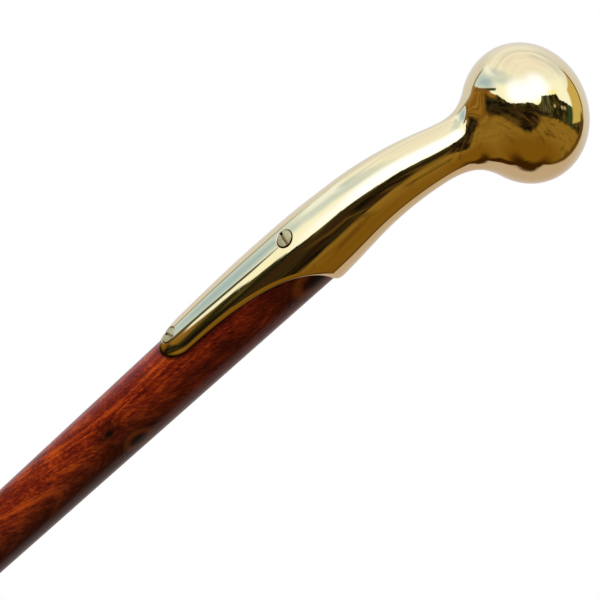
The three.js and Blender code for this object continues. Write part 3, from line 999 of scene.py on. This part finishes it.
# Wood. The growth rings run round a pith that comes up beside the shaft and enters it below the handle,
# where they show as nested arches. Flecks cross the grain at a slant, and the rings part round the knots.
woodLook = {
    "pithTurn": 71,  # degrees from the tongue's middle; all lengths are in metres
    "pithReach": (0.026, 0.009),  # from the shaft's axis, above and below where it enters
    "pithDrops": (0.08, 0.19),  # below the lip, where it bends in
    "ringCount": 640,  # to the metre
    "warpScale": (60, 60, 14),  # the scales are to the metre, the third along the shaft
    "warpReach": 0.004,
    "slowScale": (25, 25, 5),
    "slowReach": 0.01,
    "fibreScale": (1700, 1700, 70),
    "fleckScale": (1600, 1600, 400),
    "clumpScale": (220, 220, 90),
    "grainShares": (0.54, 0.16, 0.34, 0.3, 0.3),  # bands, fibre, flecks, clumps and slow patches
    "grainRange": (0.55, 1.08),
    "grainColors": ((0.0, "dark"), (0.34, "deep"), (0.62, "red"), (1.0, "orange")),
    "grainDepth": 0.00008,
    "fleckSlant": 24,  # degrees across the grain
    "spotFades": ((0.4, 0.3), (0.56, 0.42)),  # by the flecks and by their clumps
    "coreFades": ((0.016, 0.008), (0.4, 0.6, 0.85, 0.3)),  # by the reach from the pith and by the clumps
    "darkTurn": 138,  # the side where the wood darkens down the shaft, with darker heartwood and painted shade on the side turned from the light
    "darkFade": (0.1, 1.15),
    "darkWarp": 0.5,
    "darkDrops": (0.04, 0.12, 0.15, 0.92),  # where it starts and is full, and how much there
    "darkEnds": (0.34, 0.2, 0.3, 1.0),
    "knotSquash": (1, 1, 0.6),
    "knotWarp": 0.9,
    "knotPush": 2.2,  # how far it parts the rings
    "knotCalm": -0.35,  # how fast that fades
    # fades by the distance from a knot's middle, in its own size
    "heartFade": (1.1, 0.6),
    "ringFades": ((0.9, 1.25), (1.7, 1.3)),
    "barkFade": (3.6, 0.9),
    "knots": (
        {"drop": 0.0865, "turn": 96, "size": 0.0036, "ring": 0.27},
        {"drop": 0.0915, "turn": 50, "size": 0.0022, "ring": 0.0},
        {"drop": 0.004, "turn": 93, "size": 0.0048, "ring": 0.3},
        {"drop": 0.36, "turn": -70, "size": 0.006, "ring": 0.5},
        {"drop": 0.55, "turn": 150, "size": 0.005, "ring": 0.5},
    ),
    "dark": tone(32, 3, 0),
    "deep": tone(78, 12, 2),
    "red": tone(114, 29, 3),
    "orange": tone(176, 70, 6),
    "heart": tone(12, 4, 1),
    "knotRing": tone(168, 84, 12),
    "roughness": 0.5,
    "lacquer": {"Coat Weight": 1.0, "Coat Roughness": 0.26, "Coat IOR": 1.26},
}


def lacqueredWood():
    look = woodLook
    material, place = newMaterial("lacqueredWood")
    x, y, z = parts(place)
    drop = lipHeight * mm - z
    warp = noise(stretch(place, look["warpScale"]))
    slow = noise(stretch(place, look["slowScale"]), 1.0, 1.0)
    turn = math.radians(look["pithTurn"])
    pith = ease(drop, *look["pithDrops"], *look["pithReach"])
    reach = length(joined(pith * math.cos(turn) + x, pith * math.sin(turn) + y))
    reach = reach + warp * look["warpReach"] + slow * look["slowReach"]
    heart, halo, bark = 0.0, 0.0, 0.0
    for knot in look["knots"]:
        side, size = math.radians(knot["turn"]), knot["size"]
        radius = float(shaftRadius(-knot["drop"] / mm)) * mm
        spot = (-radius * math.cos(side), -radius * math.sin(side), lipHeight * mm - knot["drop"])
        away = stretch(vectorCalc("SUBTRACT", place, spot), look["knotSquash"])
        far = (length(away) + warp * (size * look["knotWarp"])) / size
        pull = calc("POWER", math.e, far * far * look["knotCalm"])
        reach = reach + pull * (size * look["knotPush"])
        heart = maximum(heart, ease(far, *look["heartFade"]))
        start, end = look["ringFades"]
        halo = maximum(halo, ease(far, *start, 0.0, knot["ring"]) * ease(far, *end))
        bark = maximum(bark, ease(far, *look["barkFade"]))
    bands = noise(joined(reach * look["ringCount"]), 1.0, 2.0, 0.6)
    fibre = noise(stretch(place, look["fibreScale"]), 1.0, 2.0, 0.6)
    slanted = addNode(place.tree, "ShaderNodeVectorRotate", {
        "Vector": place,
        "Axis": (-math.cos(turn), -math.sin(turn), 0),
        "Angle": math.radians(look["fleckSlant"]),
    })
    flecks = noise(stretch(slanted, look["fleckScale"]), 1.0, 2.0, 0.6, 0.4)
    clumps = noise(stretch(slanted, look["clumpScale"]))
    fields = (bands, fibre, flecks, clumps, slow)
    grain = sum(field * share for field, share in zip(fields, look["grainShares"]))
    stops = [(share, look[name]) for share, name in look["grainColors"]]
    bare = ramp(ease(grain, *look["grainRange"]), stops)
    spots, core = (
        ease(field, *first) * ease(clumps, *second)
        for field, (first, second) in ((flecks, look["spotFades"]), (reach, look["coreFades"]))
    )
    # darker heartwood and painted shade together, on the side turned from the light, down the shaft
    dark, radius = math.radians(look["darkTurn"]), shaftForm["topDiameter"] / 2 * mm
    lean = vectorCalc("DOT_PRODUCT", place, (-math.cos(dark) / radius, -math.sin(dark) / radius, 0))
    darkHeartAndShade = ease(lean + warp * look["darkWarp"], *look["darkFade"])
    darkHeartAndShade = darkHeartAndShade * ease(drop, *look["darkDrops"]) * ease(drop, *look["darkEnds"])
    coats = (
        (spots * 0.8, "dark"),
        (core, "deep"),
        (darkHeartAndShade, "dark"),
        (bark * 0.7, "dark"),
        (halo, "knotRing"),
        (heart, "heart"),
    )
    return shade(material, {
        "Base Color": painted(bare, *((where, look[name]) for where, name in coats)),
        "Roughness": look["roughness"],
        "Specular IOR Level": 0.05,
        **look["lacquer"],
        "Normal": bump(flecks, 0.2, look["grainDepth"], bump(fibre, 0.12, look["grainDepth"])),
    })


# Foot, in millimetres
ferruleForm = {
    "diameter": 17.6,
    "wall": 0.9,
    "endThickness": 1.5,
    "endRound": 0.7,
    "beadHeight": 2.4,
    "beadDepth": 0.5,
    "grooveDepth": 0.18,
    "grooveDrops": (9.4, 4.2),  # below the upper edge
    "pinDiameter": 1.8,
    "pinLength": 6,
    "pinRound": 0.3,
    "pinDrop": 6.2,
    "pinProud": 0.35,
    "pinColumns": 32,
    "columns": 120,
}
tipForm = {
    "baseDiameter": 36,
    "mouthDiameter": 23.6,
    "baseThickness": 12,
    "flareHeight": 15,
    "flareRadius": 13,
    "edgeRound": 1.6,
    "beadHeight": 4.5,
    "beadDepth": 0.9,
    "treadDepth": 0.6,
    "padDiameter": 11,
    "ringWidth": 2.6,
    "ringCount": 3,
    "columns": 160,
}


def makeFerrule(material):
    form = ferruleForm
    low, high = ferruleLow.z / mm, ferruleHigh.z / mm
    radius, bore = form["diameter"] / 2, form["diameter"] / 2 - form["wall"]
    edge, groove, bead = form["endRound"], form["grooveDepth"], form["beadHeight"] / 2
    profile = [(0, low), *arcPoints((radius - edge, low + edge), (edge, edge), -90, 0, 6)]
    for drop in form["grooveDrops"]:
        middle = high - drop
        profile += [(radius, middle - groove), (radius - groove, middle), (radius, middle + groove)]
    profile += arcPoints((radius, high - bead), (form["beadDepth"], bead), -90, 90, 12)
    profile += [(bore, high), (bore, low + form["endThickness"]), (0, low + form["endThickness"])]
    return smoothOver(meshPiece("turnedFerrule", *turned(profile, form["columns"]), material))


def makePins(tree, material):
    form = ferruleForm
    radius, edge = form["pinDiameter"] / 2, form["pinRound"]
    outer = form["diameter"] / 2 + form["pinProud"]
    profile = [(0, -form["pinLength"]), (radius, -form["pinLength"])]
    profile += arcPoints((0, -edge), (radius, edge), 0, 90, 6)
    pattern = smoothOver(meshPiece("pinPattern", *turned(profile, form["pinColumns"])))
    height = ferruleHigh.z - form["pinDrop"] * mm
    matrices = []
    for side in (1, -1):
        turn = Matrix.Rotation(math.radians(90 * side), 4, "Y")
        matrices.append(Matrix.Translation((side * outer * mm, 0, height)) @ turn)
    return copiesOn("ferrulePins", tree, pattern, matrices, [0, 0], material)


def makeTip(material):
    form = tipForm
    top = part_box("rubber_tip")[1].z / mm
    base, mouth, pad = form["baseDiameter"] / 2, form["mouthDiameter"] / 2, form["padDiameter"] / 2
    socket = ferruleForm["diameter"] / 2 + handleForm["shaftGap"]
    pitch = (base - pad) / form["ringCount"]
    profile = [(0, 0), (pad, 0)]
    for index in range(form["ringCount"]):
        outer = pad + pitch * (index + 1)
        inner = outer - form["ringWidth"]
        profile += [(outer - pitch, form["treadDepth"]), (inner, form["treadDepth"]), (inner, 0)]
        if index < form["ringCount"] - 1:
            profile.append((outer, 0))
    foot, brim, waist = form["edgeRound"], form["beadDepth"], mouth - form["beadDepth"]
    profile += arcPoints((base - foot, foot), (foot, foot), -90, 0, 8)
    profile += arcPoints((base, form["flareHeight"]), (base - mouth, form["flareRadius"]), -90, -180, 24)
    profile += [
        (waist, form["flareHeight"] + form["beadHeight"]),
        (waist, top - form["beadHeight"]),
        (mouth, top - form["beadHeight"] + brim),
        *arcPoints((waist, top - brim), (brim, brim), 0, 90, 8),
        (socket, top),
        (socket, form["baseThickness"]),
        (0, form["baseThickness"]),
    ]
    return smoothOver(meshPiece("rubberFoot", *turned(profile, form["columns"]), material), 40)


# Studio, in metres and watts
studioLook = {
    "skyRadius": 30.0,
    "skyColumns": 96,
    "floorRadius": 0.95,
    "floorColumns": 128,
    "floorGlow": 0.55,
    "floorColors": (tone(236, 235, 233), tone(242, 241, 240)),
    "worldStrength": 0.08,
    "lampAim": 0.8,  # of the lip's height
    "lamps": (
        {"from": (-1.6, 0.5, 1.55), "size": 1.6, "power": 44},
        {"from": (-1.0, -1.3, 1.4), "size": 1.2, "power": 7},
        {"from": (1.2, -1.6, 1.6), "size": 1.6, "power": 1.5},
        {"from": (0.3, 1.8, 1.9), "size": 1.6, "power": 8},
    ),
}

# The yard that the polished brass mirrors. Places and reaches are degrees round from the camera's side and
# up from its level, and colours from 0 to 255 as they show in the brass.
yardColors = {
    "cream": (255, 248, 207),
    "zenith": (250, 234, 196),
    "cloudGray": (204, 200, 178),
    "blue": (168, 187, 183),
    "streak": (250, 248, 222),
    "glow": (255, 255, 252),
    "sunset": (255, 236, 84),
    "leafDark": (32, 28, 10),
    "leafLight": (82, 68, 24),
    "roof": (158, 108, 30),
    "roofDark": (112, 76, 20),
    "eaves": (64, 62, 32),
    "eavesRust": (122, 86, 36),
    "hut": (104, 94, 52),
    "hutDark": (50, 47, 24),
    "window": (196, 172, 118),
    "door": (44, 66, 34),
    "wing": (202, 170, 80),
    "shade": (20, 15, 6),
    "shadeOlive": (50, 42, 16),
    "shadeRust": (58, 30, 12),
    "ground": (140, 102, 30),
    "groundDark": (84, 54, 10),
    "groundNear": (122, 80, 14),
    "shadow": (58, 30, 2),
    "board": (218, 204, 170),
    "boardLow": (192, 164, 124),
    "boardEdge": (92, 62, 18),
    "boardLine": (138, 126, 84),
}
# Fades are (start, full), with their weights there if they aren't 0 and 1. Sides and heights are bands,
# (low, high, softness), and patches are (place, reach, softness, weight).
yardLook = {
    "zenithFade": (35, 80),
    "cloudFade": (0.36, 0.66),
    "cloudWeights": (0.15, 0.75),
    "grayBehindFade": (70, 130, 0.3),
    "grayFootFade": (36, 50),
    "grayTopFade": (84, 70, 0.4),
    "graySides": (99, 150, 21),
    "graySideFade": (66, 48, 0.0, 0.6),
    "blueSides": (-160, -78, 16),
    "blueHeights": (22, 39, 7),
    "bluePatch": ((-76, 43), (34, 11), 0.5, 0.6),
    "bluePuffFade": (0.85, 0.35, 0.65),
    "streakPatch": ((-112, 43), (26, 2.5), 0.6, 0.7),
    "sunsetHeightFade": (11, 2),
    "sunsetFade": (46, 24),
    "sunsetSideFade": (-46, -30, 0.15, 0.8),
    "glowStrength": 1.15,
    "glowPlaces": ((18, 35), (-3, 27), (-24, 22)),
    "glowFade": (34, 8),
    # side and height of the skyline, and of the shade's foot on the ground
    "skyline": (
        (-180, 20), (-120, 22), (-92, 22), (-86, 20.5), (-80, 18.4), (-75, 17.4), (-65, 15.2), (-58, 12),
        (-52, 9.5), (-48, 6.5), (-42, 5), (-32, 5), (-20, 6), (-8, 8), (2, 8), (12, 5), (20, 12), (22, 21),
        (56, 25), (60, 18), (74, 15), (92, 10), (110, 9), (180, 9),
    ),
    "shadeFoot": (
        (-180, -6), (-98, -6), (-75, -12), (-62, -14), (-48, -22), (-34, -30), (-22, -39), (-6, -40),
        (6, -34), (16, -20), (24, -12), (180, -11),
    ),
    "skylineRough": 5.2,
    "skylineFade": (0.8, -0.8),
    "leafFade": (0.42, 0.66),
    "plankFade": (0.35, 0.65),
    "roofSides": (-180, -72, 5),
    "eavesSides": (-122, -71.5, 2),
    "eavesHeights": (21.4, 25.2, 0.9),
    "eavesMiddle": -79,
    "eavesSlope": 0.11,
    "eavesRustFade": (-84, -104),
    "hutSides": (21, 38, 1),
    "hutFootFade": (-6, -1),
    "doorSides": (76, 92, 1),
    "doorFootFade": (-9, -7),
    "windowPatches": [((turn, 8), (2.4, 2.2), 0.5, 0.8) for turn in (47, 63, 69)],
    "soilFade": (0.5, 0.72),
    "soilSideFade": (-20, 40, 0.45),
    "groundRough": 12.0,
    "groundFade": (-3, -7),
    "groundNearFade": (-30, -60),
    "trackSides": (-70, 62, 16),
    "trackHeights": (-56, -8, 7),
    "trackSlope": 0.58,
    "trackScale": (0.013, 0.13),
    "trackFade": (0.5, 0.66),
    "trackWeights": (0.55, 0.32),  # in the open and in the shade
    "shadeSides": (-94, 15, 7),
    "shadeRough": 10.0,
    "shadeFootFade": (0, 10),
    "shadeTopFade": (-3, -9),
    "oliveFade": (0.4, 0.62),
    "rustFade": (0.4, 0.66),
    "rustHeightFade": (4, -8, 0.0, 0.8),
    "wingSides": (88, 128, 3),
    "wingHeights": (-34, 0, 1),
    "wingSlope": 0.33,
    "wingDrop": 1.0,
    "boardSides": (-132, 121),
    "boardSlant": 13,
    "boardSlantFade": (-8, -50),
    "boardRimFade": (-1.5, 1.5),
    "boardFootFade": (-68, -58),
    "boardFootLean": 20.0,
    "boardFootRough": 20.0,
    "boardTopFade": (62, 30),
    "boardLowFade": (30, -40),
    # what borders the board: how far outside it, on which side and how high
    "boardRims": (
        ("boardEdge", (-11, -3, 3), (-181, -180), (-80, 8, 3)),
        ("boardEdge", (-4.5, -1, 1.5), (0, 10), (8, 42, 6)),
        ("boardLine", (-5, 0, 1.5), (0, -10), (12, 38, 4)),
    ),
    "shadowPatch": ((180, -71), (92, 14), 0.4),
    "shadowReach": (-14, 0, 3),
    "shadowTopFade": (-36, -48),
    "shadowSideFade": (0, -20),
}


def mirrored(color):
    # the colour that the brass turns into the given one
    return (*(part / brass for part, brass in zip(tone(*color)[:3], brassLook["color"])), 1)


def setSurface(material, shine):
    plug(material.node_tree.nodes["Material Output"].inputs["Surface"], shine)
    return material


def skyMaterial():
    look = yardLook
    colors = {name: mirrored(value) for name, value in yardColors.items()}
    material, place = newMaterial("mirroredYard")
    tree = place.tree
    tree.nodes.remove(tree.nodes["Principled BSDF"])
    way = vectorCalc("NORMALIZE", place)
    x, y, z = parts(way)
    degrees = 180 / math.pi
    side, up = calc("ARCTAN2", x, z) * degrees, calc("ARCSINE", y) * degrees
    behind = calc("ABSOLUTE", side)

    def fade(value, name):
        return ease(value, *look[name])

    def band(value, name):
        return within(value, *look[name])

    def apart(place):
        turn, height = (math.radians(angle) for angle in place)
        point = (math.sin(turn) * math.cos(height), math.sin(height), math.cos(turn) * math.cos(height))
        return calc("ARCCOSINE", vectorCalc("DOT_PRODUCT", way, point)) * degrees

    def patch(place, reach, soft, weight=1.0):
        across = ((behind if place[0] == 180 else side) - place[0]) / reach[0]
        far = length(joined(across, (up - place[1]) / reach[1]))
        return ease(far, 1 + soft, 1 - soft, 0.0, weight)

    def heightRound(points):
        # a height that changes with the side
        stops = [((turn + 180) / 360, (height / 90 + 1,) * 3 + (1,)) for turn, height in points]
        return ramp(side * (1 / 360) + 0.5, stops) * 90.0 - 90.0

    def coated(under, *coats):
        # each coat has its colour first, by name or mixed, and then where it goes
        coats = [(where, colors.get(color, color)) for color, where in coats]
        return painted(colors.get(under, under), *coats)

    puffs = noise(stretch(way, (1, 2.5, 1)), 3.0, 3.0, 0.5, 0.3)
    leaves = noise(stretch(way, (1, 0.8, 1)), 9.0, 4.0, 0.6)
    twigs = noise(stretch(way, (1, 0.4, 1)), 13.0, 4.0, 0.6)
    planks = fade(noise(stretch(way, (1, 0.15, 1)), 11.0, 3.0, 0.6), "plankFade")
    soil = noise(stretch(way, (1, 3, 1)), 3.2, 5.0, 0.55, 0.8)

    # sky, with long clouds that arch over the sun
    arch = puffs * 12.0 + apart(look["glowPlaces"][0])
    clouds = fade(noise(joined(arch * 0.1, y), 1.0, 3.0), "cloudFade")
    thin, thick = look["cloudWeights"]
    gray = fade(behind, "grayBehindFade") * fade(up, "grayFootFade") * fade(up, "grayTopFade")
    blue = maximum(band(side, "blueSides") * band(up, "blueHeights"), patch(*look["bluePatch"]))
    sky = coated(
        "cream",
        ("zenith", fade(up, "zenithFade")),
        ("cloudGray", gray * (clouds * thick + thin)),
        ("cloudGray", band(side, "graySides") * fade(up, "graySideFade")),
        ("blue", blue * fade(puffs, "bluePuffFade")),
        ("streak", patch(*look["streakPatch"])),
    )

    # sun behind thin cloud, spread along the trees
    over = up - (heightRound(look["skyline"]) + (twigs - 0.5) * look["skylineRough"])
    far = 180.0
    for spot in look["glowPlaces"]:
        far = calc("MINIMUM", far, apart(spot))
    inputs = {0: colors["glow"][:3], "Scale": look["glowStrength"]}
    glow = addNode(tree, "ShaderNodeVectorMath", inputs, operation="SCALE")
    sunset = fade(over, "sunsetHeightFade") * fade(far, "sunsetFade") * fade(side, "sunsetSideFade")
    sky = coated(sky, ("sunset", sunset), (glow, fade(far, "glowFade")))

    # trees, roofs and a hut
    woods = coated(
        "leafDark",
        ("leafLight", fade(leaves, "leafFade")),
        (coated("roofDark", ("roof", planks)), band(side, "roofSides")),
        (coated("hutDark", ("hut", planks)), band(side, "hutSides") * fade(up, "hutFootFade")),
        *(("window", patch(*window)) for window in look["windowPatches"]),
        ("door", band(side, "doorSides") * fade(up, "doorFootFade")),
    )
    level = up - (side - look["eavesMiddle"]) * look["eavesSlope"]
    eaves = coated("eaves", ("eavesRust", fade(side, "eavesRustFade")))
    yard = coated(
        sky,
        (woods, fade(over, "skylineFade")),
        (eaves, band(side, "eavesSides") * band(level, "eavesHeights")),
    )

    # ground, with the trees' shade on it
    along, across = side - up * look["trackSlope"], side * look["trackSlope"] + up
    run, width = look["trackScale"]
    tracks = fade(noise(joined(along * run, across * width), 1.0, 4.0, 0.55, 0.3), "trackFade")
    tracks = tracks * band(side, "trackSides") * band(up, "trackHeights")
    sunny, shaded = (tracks * weight for weight in look["trackWeights"])
    ground = coated(
        "ground",
        ("groundDark", fade(soil, "soilFade") * fade(side, "soilSideFade")),
        ("groundNear", fade(up, "groundNearFade")),
        ("groundDark", sunny),
    )
    shade = coated(
        "shade",
        ("shadeOlive", fade(puffs, "oliveFade")),
        ("shadeRust", fade(soil, "rustFade") * fade(up, "rustHeightFade")),
        ("ground", shaded),
    )
    foot = leaves * look["shadeRough"] + up - heightRound(look["shadeFoot"])
    under = fade(foot, "shadeFootFade") * fade(over, "shadeTopFade") * band(side, "shadeSides")
    edge = fade(leaves * look["groundRough"] + up, "groundFade")
    yard = coated(yard, (ground, edge), (shade, under))

    # a wing of bright wall, the board behind the stick and the shadow under it
    wing = up - (side * look["wingSlope"] - look["wingDrop"])
    yard = coated(yard, ("wing", band(side, "wingSides") * band(wing, "wingHeights")))
    left, right = look["boardSides"]
    past = maximum(fade(up, "boardSlantFade") * -look["boardSlant"] + left - side, side - right)
    for color, reach, way, heights in look["boardRims"]:
        yard = coated(yard, (color, within(past, *reach) * ease(side, *way) * within(up, *heights)))
    rise = x * look["boardFootLean"] + ((puffs - 0.5) * look["boardFootRough"] + up)
    inside = fade(past, "boardRimFade") * fade(rise, "boardFootFade") * fade(up, "boardTopFade")
    strip = band(past, "shadowReach") * fade(up, "shadowTopFade") * fade(side, "shadowSideFade")
    yard = coated(
        yard,
        ("shadow", patch(*look["shadowPatch"])),
        ("shadow", strip),
        (coated("board", ("boardLow", fade(up, "boardLowFade"))), inside),
    )
    return setSurface(material, addNode(tree, "ShaderNodeEmission", {"Color": yard, "Strength": 1.0}))


def makeSky(turn):
    radius = studioLook["skyRadius"]
    profile = arcPoints((0, 0), (radius, radius), -90, 90, studioLook["skyColumns"] // 2)
    sky = meshPiece("mirroredYard", *turned(profile, studioLook["skyColumns"]), skyMaterial(), 1)
    sky.matrix_world = Matrix.Translation((0, 0, lipHeight * mm)) @ turn.to_4x4()
    sky.visible_camera = sky.visible_diffuse = sky.visible_shadow = sky.visible_transmission = False


def makeFloor():
    # it glows, partly in its middle and fully at its rim, so that it fades into the white behind
    radius, columns = studioLook["floorRadius"], studioLook["floorColumns"]
    material, place = newMaterial("paleFloor")
    paint = blend(noise(place, 6.0, 3.0), *studioLook["floorColors"])
    shade(material, {"Base Color": paint, "Roughness": 0.8})
    rim = ease(length(place), radius * 0.25, radius * 0.97, studioLook["floorGlow"])
    white = addNode(place.tree, "ShaderNodeEmission", {"Color": (1, 1, 1, 1)})
    matt = Wire(place.tree.nodes["Principled BSDF"].outputs[0])
    setSurface(material, addNode(place.tree, "ShaderNodeMixShader", {0: rim, 1: matt, 2: white}))
    points = ring(radius, 0, ringAngles(columns))
    floor = meshPiece("floor", points, [tuple(range(columns))], material, 1)
    floor.visible_glossy = False


def makeWorld():
    world = bpy.data.worlds.new("studio")
    bpy.context.scene.world = world
    world.use_nodes = True
    rays = outputsOf(newNode(world.node_tree, "ShaderNodeLightPath"))
    seen = maximum(rays["Is Camera Ray"], maximum(rays["Is Glossy Ray"], rays["Is Transmission Ray"]))
    low, background = studioLook["worldStrength"], world.node_tree.nodes["Background"].inputs
    plug(background["Color"], (1, 1, 1, 1))
    plug(background["Strength"], seen * (1 - low) + low)


def makeLamps():
    for index, lamp in enumerate(studioLook["lamps"]):
        light = bpy.data.lights.new(f"softLamp{index}", "AREA")
        light.energy, light.size, light.shape = lamp["power"], lamp["size"], "DISK"
        holder = newObject(f"softLamp{index}", light)
        holder.location = lamp["from"]
        aim = Vector((0, 0, lipHeight * mm * studioLook["lampAim"])) - holder.location
        holder.rotation_mode = "QUATERNION"
        holder.rotation_quaternion = aim.to_track_quat("-Z", "Y")
        holder.visible_glossy = False


# Everything in its place

brass, screwBrass, footBrass = polishedBrass(), filedBrass(), ferruleBrass()
wood, steel, rubber = lacqueredWood(), dullSteel(), mouldedRubber()
print("materials made")

handle = meshPiece("uncutHandle", *handleMesh(), brass)
faces = [tuple(face.vertices) for face in handle.data.polygons]
surface = BVHTree.FromPolygons([vertex.co for vertex in handle.data.vertices], faces)
seats = {name: screwMatrix(spot) for name, spot in screwPlaces.items()}
cutters = [recessCutter(name + "Recess", seat, surface) for name, seat in seats.items()]
handle = smoothOver(cutWith(handle, cutters, "brassHandle"))
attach(handle, "stick")
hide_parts("knob_handle")
print("handle made,", len(handle.data.polygons), "faces")

copies = copiesTree()
spins = [math.radians(spot["slotTurn"]) for spot in screwPlaces.values()]
screws = copiesOn(
    "tongueScrews", copies, screwMesh(), list(seats.values()), spins, screwBrass, screwForm["slip"]
)
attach(screws, "stick")
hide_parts("tongue_screw_upper", "tongue_screw_lower")
print("screws made,", len(screws.data.polygons), "faces")

shaft = makeShaft(wood)
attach(shaft, "stick")
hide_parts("shaft")
print("shaft made,", len(shaft.data.polygons), "faces")

ferrule = makeFerrule(footBrass)
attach(ferrule, "stick")
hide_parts("foot_ferrule")

pins = makePins(copies, screwBrass)
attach(pins, "stick")
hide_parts("ferrule_pin_front", "ferrule_pin_back")

tip = makeTip(rubber)
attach(tip, "tip")
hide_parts("rubber_tip")
print("foot made")

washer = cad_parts["tip_washer"]
washer.data.materials.clear()
washer.data.materials.append(steel)

makeSky(photoTurn)
makeFloor()
makeWorld()
makeLamps()
bpy.context.scene.view_settings.view_transform = "Standard"
print("studio made")
